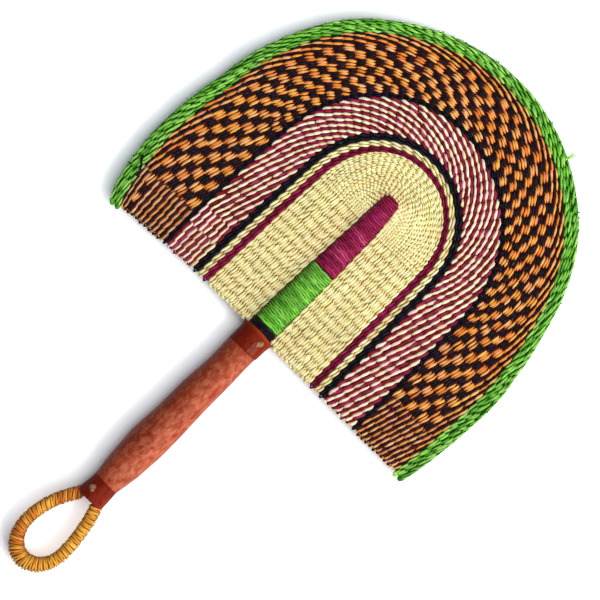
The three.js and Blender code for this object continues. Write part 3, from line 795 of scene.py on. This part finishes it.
def add_under_wrap(tubes, start, end, tint):
    """The first layer of the wrap, which shows only as dark lines between the turns. Its
    colour is darkened as painted shade.
    """
    y = start + (end - start) * np.sin(np.linspace(0, math.pi / 2, 24))
    radius = spine_radius(y) * drawn_in(y) - UNDER_DEPTH
    tubes.add(spine_line(y), UP, radius, radius, tint, sides=32)


def add_tip_button(tubes, tint):
    """The tucked end of the wrap, which closes the spine's tip."""
    q = np.linspace(0, 1, 7)
    y = SPINE_TIP_Y + (q - 0.6) * MM
    radius = (spine_radius(y) * drawn_in(y) - BUTTON_DEPTH) * np.sqrt(1 - (0.98 * q) ** 2)
    tubes.add(spine_line(y), UP, radius, radius, tint, sides=24)


def bundle_piece():
    """The straws inside the grip and the spine, one in the middle and two rings round it."""
    tubes = Tubes()
    low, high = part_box("straw_bundle")
    y = np.linspace(low.y, high.y - TIP_ROUND, 24) - BASE_Y
    spots = [(0, 0)]
    for ring, count in ((0.36, 6), (0.74, 12)):
        spots += [(ring, 2 * math.pi * k / count) for k in range(count)]
    radius = np.where(y < 0, BUNDLE_RADIUS, spine_radius(y) - BUNDLE_DEPTH)
    for ring, angle in spots:
        off = ring * radius
        path = placed_at(spine_x(y) + off * math.cos(angle), y, off * math.sin(angle))
        tubes.add(path, UP, radius * 0.2, radius * 0.2, STRAW[1] * 0.8, sides=8)
    return tubes.piece("inner_straws", grass_material("bundle_straw", 0.6))


# Grip and collars
STRAP_X = 4.6 * MM  # the end of the collar's strap, laid over its front
STRAP_RADIUS = 10.55 * MM
STRAP_ENDS = (-2.6 * MM, -11.5 * MM)
STRAP_HALF = 1.6 * MM  # half its width
STRAP_HIGH = 0.45 * MM
GRIP_AT = np.array([-12, -20, -62, -93, -112, -122, -127]) * MM
GRIP_RADIUS = np.array([10.2, 10.2, 11.2, 12.1, 10.9, 9.4, 8.6]) * MM
LEAN_AT = np.array([-200, -186, -171, -156, -150, -141, -126, -93, -60, -15]) * MM
LEAN = np.array([-1.5, -1, -1.2, -0.6, 0.2, 1.2, 1.4, 1, 0.8, 0.1]) * MM
WALL = 1.3 * MM  # thickness of the leather
LIP_UP = np.array([0.5, 0, 0.15, 0.8])  # a collar's lip, from its inside over its edge to
LIP_IN = np.array([1, 0.6, 0.12, 0])  # its outside, in walls
LIP_AT = [0, 0.05, 0.1, 0.15, 0.85, 0.9, 0.95, 1]
GRIP_ENDS = (-126.8 * MM, -11.8 * MM)
GRIP_LIP = 0.03  # as a share of the outline
CREASE = (2.4 * MM, -17.8 * MM, 3.2 * MM, 0.62)  # middle x, middle y, half length, angle
CREASE_DEPTH = 0.5 * MM
CREASE_WIDTH = 0.8 * MM
SEAM_STEP = 0.45 * MM
FLARE_HEIGHT = 2 * MM
AROUND = 72  # points round a skin
# Lower end, upper end and the radius at both
UPPER_COLLAR = (-12.2 * MM, COLLAR_RISE, 10.6 * MM, 10.5 * MM)
LOWER_COLLAR = (-141 * MM, -126.4 * MM, 9.6 * MM, 8.7 * MM)
KNOT_REACH = 2.3 * MM
KNOT_HEIGHT = 2.2 * MM
KNOT_RISE = 0.1 * MM  # how far it stands above the solid's top
KNOT_CREASE = (0.55 * MM, 0.45 * MM)  # depth, half width
KNOT_PLEAT = (0.14 * MM, 0.5 * MM)  # depth, length of one radian of its wave


def handle_x(y):
    """How far the handle bends off the middle line at the height y."""
    return smooth_interp(y, LEAN_AT, LEAN)


def smooth_interp(y, at, values, spread=4 * MM):
    """Interpolates with soft corners."""
    order = np.argsort(at)
    at, values = at[order], values[order]
    offsets = np.linspace(-spread, spread, 7)
    return np.mean([np.interp(y + o, at, values) for o in offsets], axis=0)


def ripple(angle, y, seed, size):
    """A smooth unevenness of a hand made skin."""
    rng = np.random.default_rng(seed)
    total = 0 * angle + 0 * y
    for _ in range(10):
        around, along = rng.integers(0, 5), rng.uniform(20, 170)
        phase = rng.uniform(0, 2 * math.pi, 2)
        total = total + np.sin(around * angle + phase[0]) * np.sin(along * y + phase[1])
    return size * total / 4


def ringed(name, points, material, open_end):
    """A skin over [ring, place, xyz]. With an open end the last ring is joined to the first,
    and without one it is closed."""
    corner = np.arange(points[..., 0].size).reshape(points.shape[:2])
    beside = np.roll(corner, -1, axis=1)
    quads = np.stack([corner[:-1], corner[1:], beside[1:], beside[:-1]], axis=2)
    ends = [corner[-1, ::-1].tolist()]
    if open_end:
        ends = np.stack([corner[-1], corner[0], beside[0], beside[-1]], axis=1).tolist()
    mesh = bpy.data.meshes.new(name)
    mesh.from_pydata(points.reshape(-1, 3).tolist(), [], quads.reshape(-1, 4).tolist() + ends)
    mesh.validate()
    return placed(name, mesh, material)


def skin(name, outline, material, seam, unevenness, seed, steps, flare=0, bow=0, slant=0,
         crease=None):
    """A leather tube round the handle. outline(share) gives its y and radius from one inner
    end over the outside to the other. It laps over itself at the angle of the seam, its top
    edge stands out by the flare and bows up in front, and its lower edge slants."""
    y, radius = outline(np.linspace(0, 1, steps))
    angle = np.linspace(0, 2 * math.pi, AROUND, endpoint=False)[None]
    y, radius = y[:, None] + 0 * angle, radius[:, None] + 0 * angle
    radius = radius + ripple(angle, y, seed, unevenness)
    away = (angle - seam + math.pi) % (2 * math.pi) - math.pi
    radius = radius + SEAM_STEP / (1 + np.exp(-away / 0.03)) * np.exp(-np.clip(away, 0, 9) / 0.7)
    if crease is not None:
        middle_x, middle_y, half_length, turn = crease
        dx, dy = radius * np.sin(angle) - middle_x, y - middle_y
        along = dx * math.cos(turn) + dy * math.sin(turn)
        across = dy * math.cos(turn) - dx * math.sin(turn)
        fold = np.exp(-(along / half_length) ** 4) * (np.cos(angle) > 0)
        fold = fold * across / MM * np.exp(-(across / CREASE_WIDTH) ** 2)
        radius = radius + CREASE_DEPTH * fold
    fall = np.exp(-(y.max() - y) / FLARE_HEIGHT)
    radius = radius + flare * fall * (0.3 + 0.7 * np.sin(angle) ** 8)
    y = y + bow * fall * np.clip(np.cos(angle), 0, 1) ** 2
    y = y + slant * np.sin(angle) * (y.max() - y) / (y.max() - y.min())
    points = placed_at(handle_x(y) + radius * np.sin(angle), y, radius * np.cos(angle))
    return ringed(name, points, material, open_end=True)


def ring_outline(low, high, low_radius, high_radius):
    """A ring's section with rounded lips, from its inner lower edge round to the upper one."""
    y_at = np.concatenate([low + WALL * LIP_UP, (high - WALL * LIP_UP)[::-1]])
    r_at = np.concatenate([low_radius - WALL * LIP_IN, (high_radius - WALL * LIP_IN)[::-1]])
    return lambda share: (np.interp(share, LIP_AT, y_at), np.interp(share, LIP_AT, r_at))


def grip_outline(share):
    low, high = GRIP_ENDS
    y = low + (high - low) * np.clip((share - GRIP_LIP) / (1 - 2 * GRIP_LIP), 0, 1)
    radius = smooth_interp(y, GRIP_AT, GRIP_RADIUS, 3 * MM)
    edge = np.minimum(share, 1 - share)
    return y, radius - WALL * np.clip(1 - edge / GRIP_LIP, 0, 1)


def handle_pieces():
    top = BASE_Y + COLLAR_RISE
    tan = leather_material("tan_leather", (133, 40, 8), (158, 61, 28), (217, 133, 101))
    dark = leather_material("dark_leather", (96, 14, 0), (116, 24, 4), (142, 48, 22), 0.06)
    # The upper collar's top edge gets a painted highlight.
    dark_lit_edge = leather_material("dark_leather_lit_edge", (102, 18, 0), (122, 28, 7), (156, 56, 26),
                                 0.06, highlight_from=(top - 1.6 * MM, top + 0.4 * MM))
    strap = leather_material("strap_leather", (104, 28, 12), (128, 48, 28), (166, 84, 60))
    knot = leather_material("knot_leather", (104, 62, 40), (150, 104, 74), (196, 158, 120))
    grip = skin("grip_leather", grip_outline, tan, seam=math.pi * 1.06,
                unevenness=0.34 * MM, seed=1, steps=200, crease=CREASE)
    dressed(grip, "tan_leather", "leather_grip")
    collar = skin("upper_collar_leather", ring_outline(*UPPER_COLLAR), dark_lit_edge, seam=0.22,
                  unevenness=0.18 * MM, seed=3, steps=60, flare=1.9 * MM, bow=1.3 * MM,
                  slant=0.6 * MM)
    dressed(strap_piece(strap), "dark_leather")
    dressed(collar, "dark_leather", "upper_collar")
    collar = skin("lower_collar_leather", ring_outline(*LOWER_COLLAR), dark, seam=-0.75,
                  unevenness=0.18 * MM, seed=4, steps=60)
    dressed(collar, "dark_leather", "lower_collar")
    dressed(knot_piece("upper_knot", "upper_tie", knot, 0.5), "tie_leather", "upper_tie")
    dressed(knot_piece("lower_knot", "lower_tie", knot, 2.1), "tie_leather", "lower_tie")


def strap_piece(material):
    """The end of the upper collar's strap, bent round its front."""
    y = np.linspace(*STRAP_ENDS, 14)
    turn = (STRAP_X + 0.5 * MM * np.sin(y * 500)) / STRAP_RADIUS
    out = np.stack([np.sin(turn), 0 * y, np.cos(turn)], axis=1)
    path = out * STRAP_RADIUS + placed_at(handle_x(y), y, 0)
    wide = STRAP_HALF - 0.12 * y + 0.2 * MM * np.sin(y * 900)
    strap = Tubes()
    strap.add(path, out, wide, STRAP_HIGH, DARK_BROWN, sides=14)
    return strap.piece("upper_collar_strap", material)


def knot_piece(name, cad, material, turn):
    """A leather end pulled through a slit: a folded lump with a crease down its middle."""
    low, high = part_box(cad)
    middle = (low + high) / 2
    fall = np.linspace(0, 0.5 * math.pi, 14)[:, None]
    angle = np.linspace(0, 2 * math.pi, 28, endpoint=False)[None]
    outline = 1 + 0.16 * np.sin(2 * angle + turn) + 0.1 * np.sin(3 * angle + 2 * turn)
    reach = KNOT_REACH * np.sin(fall) * outline
    x, y = reach * np.cos(angle) * 0.85, reach * np.sin(angle) * 1.2
    across = x * math.cos(turn) + y * math.sin(turn)
    along = x * math.sin(turn) - y * math.cos(turn)
    fold = KNOT_CREASE[0] * np.exp(-(across / KNOT_CREASE[1]) ** 2)
    fold = fold + KNOT_PLEAT[0] * np.sin(along / KNOT_PLEAT[1])
    z = high.z + KNOT_RISE - KNOT_HEIGHT * (1 - np.cos(fall)) - fold * np.cos(fall) ** 0.5
    shift = float(handle_x(np.array([middle.y - BASE_Y]))[0])
    points = np.stack([x + middle.x + shift, y + middle.y, z + 0 * x], axis=-1)
    return ringed(name, points, material, open_end=False)


# Loop
LOOP_HALF = 15 * MM
MOUTH_HALF = 6.2 * MM
LEG_LENGTH = 34.2 * MM
END_DEPTH = 19.5 * MM
LEG_TOP = LOWER_COLLAR[0]
LOOP_RADIUS = 4 * MM
LOOP_END_RADIUS = 5.2 * MM
LOOP_TUCK = 5 * MM  # how far the loop's core goes on into the lower collar
LOOP_TURNS = 80
LOOP_STRAND = 1 * MM
WINDING_GAP = 0.4 * MM  # the winding starts this far below the collar
# How much of the winding is of darker grass, from the right leg round to the left one
AMBER_AT = [0, 0.1, 0.35, 0.48, 0.6, 0.72, 0.8, 0.88, 1]
AMBER_SHARE = [0.4, 0.06, 0.06, 0.35, 0.75, 0.5, 0.4, 0.65, 0.8]


def loop_line(count, tuck):
    """Evenly spaced points down one leg, round and up the other, and their whole length. The
    legs start this tuck above the collar's edge."""
    down = np.linspace(-tuck / LEG_LENGTH, 1, 200)
    leg_x = LOOP_HALF - (LOOP_HALF - MOUTH_HALF) * (1 - down) ** 2
    leg_y = LEG_TOP - LEG_LENGTH * down
    angle = np.linspace(0, math.pi, 200)[1:-1]
    x = np.concatenate([leg_x, LOOP_HALF * np.cos(angle), -leg_x[::-1]])
    bottom = LEG_TOP - LEG_LENGTH - END_DEPTH * np.sin(angle)
    y = np.concatenate([leg_y, bottom, leg_y[::-1]])
    x = x + handle_x(y)
    step = np.hypot(np.diff(x), np.diff(y))
    length = np.concatenate([[0], np.cumsum(step)])
    even = np.linspace(0, length[-1], count)
    x, y = np.interp(even, length, x), np.interp(even, length, y)
    return placed_at(x, y, 0.5 * MM * np.sin(even * 70)), length[-1]


def loop_radius(y):
    below = np.clip(LEG_TOP - LEG_LENGTH - (y - BASE_Y), 0, END_DEPTH) / END_DEPTH
    return LOOP_RADIUS + (LOOP_END_RADIUS - LOOP_RADIUS) * below ** 2


def loop_pieces():
    golden = grass_material("golden_grass", 0.5, streaks=0.4, patches=0.2, blot=260)
    line = loop_line(160, LOOP_TUCK)[0]
    tubes = Tubes()
    core = loop_radius(line[:, 1]) - LOOP_STRAND * 0.75
    # The heart's colour is painted shade, seen between the winding's turns.
    tubes.add(line, UP, core, core, SHADED_GOLD, sides=20)
    dressed(tubes.piece("loop_heart", golden), "straw", "loop_core")
    turn = np.linspace(0, LOOP_TURNS, LOOP_TURNS * TURN_STEPS + 1)
    line, length = loop_line(len(turn), -WINDING_GAP)
    along = np.gradient(line, axis=0)
    along /= np.linalg.norm(along, axis=1, keepdims=True)
    angle = 2 * math.pi * turn
    out = np.cross(along, UP) * np.cos(angle)[:, None] + UP * np.sin(angle)[:, None]
    rise = 0.09 * MM * np.sin(turn * 5.1) + 0.08 * MM * np.sin(turn * 1.9 + 2)
    slant = (0.3 - 1.5 * turn / LOOP_TURNS) * np.cos(angle)
    path = line + along * (slant + 0.2 * np.sin(turn * 9.7))[:, None] * MM
    path += out * (loop_radius(line[:, 1]) - LOOP_STRAND * 0.4 + rise)[:, None]
    wide = length / LOOP_TURNS * (0.45 + 0.05 * np.sin(turn * 3.3))
    # Painted shade: the winding is darker where it turns down the loop's sides
    tint = loop_tints(turn) * (1 - 0.7 * np.cos(angle) ** 6)[:, None]
    tubes = Tubes()
    tubes.add(path, out, wide, LOOP_STRAND * 0.6, tint, sides=8, seed=3)
    dressed(tubes.piece("loop_winding_grass", golden), "golden_grass", "loop_winding")


def loop_tints(turn):
    """The winding's colours. They change twice in each turn."""
    rng = np.random.default_rng(77)
    count = 2 * LOOP_TURNS + 2
    amber = np.interp(np.linspace(0, 1, count), AMBER_AT, AMBER_SHARE)
    is_amber = rng.uniform(0, 1, count) < amber
    tint = np.where(is_amber[:, None], picked(rng, AMBER, (count,)), picked(rng, GOLD, (count,)))
    mean = amber[:, None] * AMBER.mean(axis=0) + (1 - amber[:, None]) * GOLD.mean(axis=0)
    return (0.55 * tint + 0.45 * mean)[np.floor(turn * 2 + 0.25).astype(int)]


# Floor, light and camera
FLOOR_GAIN = 0.46  # what the camera sees of the floor besides its own colour
SKY_TINT = (0.74, 0.87, 1)
SKY_LIGHT = 0.18  # what the sky adds to the lamps. It is seen as plain white
PAPER = ((0.90, 0.92, 0.965, 1), (0.92, 0.94, 0.98, 1))
FLOOR_HALF = 3
# Both lamps stand to the lower right of the picture, the second nearly overhead: place, size,
# power, colour
LAMPS = [((2.3, 0.25, 1.95), 2.3, 74, (1, 0.98, 0.95)),
         ((0.65, 0.42, 2.3), 1.8, 40, (1, 0.99, 0.97))]


def seen_rays(tree):
    """1 for the camera's rays, and for those that a glossy or clear surface sends on."""
    rays = node(tree, "ShaderNodeLightPath").outputs
    seen = rays["Is Camera Ray"]
    for kind in ("Is Glossy Ray", "Is Transmission Ray"):
        seen = joined(tree, "MAXIMUM", seen, rays[kind])
    return seen


def add_floor():
    material, tree, shader = new_material("pale_floor", 0.9, specular=0)
    place = node(tree, "ShaderNodeTexCoord").outputs["Object"]
    paper = mixed(tree, "MIX", ranged(tree, noise(tree, place, 40), 0, 1), *PAPER)
    tree.links.new(paper, shader.inputs["Base Color"])
    gain = ranged(tree, seen_rays(tree), 0, FLOOR_GAIN, 0, 1)
    paler = node(tree, "ShaderNodeBsdfDiffuse", {"Color": gain})
    both = node(tree, "ShaderNodeAddShader", {0: shader.outputs[0], 1: paler.outputs[0]})
    tree.links.new(both.outputs[0], tree.nodes["Material Output"].inputs["Surface"])
    mesh = bpy.data.meshes.new("floor")
    corners = [(-1, -1), (1, -1), (1, 1), (-1, 1)]
    mesh.from_pydata([(x * FLOOR_HALF, y * FLOOR_HALF, 0) for x, y in corners], [], [(0, 1, 2, 3)])
    mesh.materials.append(material)
    floor = linked("floor", mesh)


def add_lights():
    world = bpy.data.worlds.new("studio")
    world.use_nodes = True
    bpy.context.scene.world = world
    tree = world.node_tree
    cool, white = (*(SKY_LIGHT * np.array(SKY_TINT)), 1), (1, 1, 1, 1)
    sky = mixed(tree, "MIX", seen_rays(tree), cool, white)
    tree.links.new(sky, tree.nodes["Background"].inputs["Color"])
    for place, size, power, colour in LAMPS:
        light = bpy.data.lights.new("soft_box", "AREA")
        light.shape = "SQUARE"
        light.size = size
        light.energy = power
        light.color = colour
        lamp = linked("soft_box", light)
        lamp.location = place
        lamp.rotation_euler = (-Vector(place)).to_track_quat("-Z", "Y").to_euler()


# The photograph: 600 pixels wide, at 0.6 mm each, looking straight down
PIXEL = 0.6 * MM
IMAGE = 600
FAN_TURN = math.radians(44)  # the fan's long axis above the picture's right
PICTURE_CENTRE = (3.2 * MM, 32.9 * MM)  # from the middle of the base line
CAMERA_HEIGHT = 1.6
SENSOR = 36


def add_camera():
    right = Vector((math.sin(FAN_TURN), math.cos(FAN_TURN), 0))
    up = Vector((-math.cos(FAN_TURN), math.sin(FAN_TURN), 0))
    back = Vector((0, 0, 1))
    data = bpy.data.cameras.new("camera")
    data.sensor_width = SENSOR
    data.lens = SENSOR * CAMERA_HEIGHT / (IMAGE * PIXEL)
    data.clip_start = 0.01
    data.clip_end = 20
    camera = linked("camera", data)
    turned = Matrix((right, up, back)).transposed().to_4x4()
    middle = Vector((PICTURE_CENTRE[0] + MIDDLE_X, PICTURE_CENTRE[1] + BASE_Y, MIDDLE_Z))
    camera.matrix_world = Matrix.Translation(middle + back * CAMERA_HEIGHT) @ turned
    bpy.context.scene.camera = camera


add_camera()
add_floor()
add_lights()
blade_pieces()
spine_pieces()
handle_pieces()
loop_pieces()
bpy.context.scene.view_settings.view_transform = "Standard"
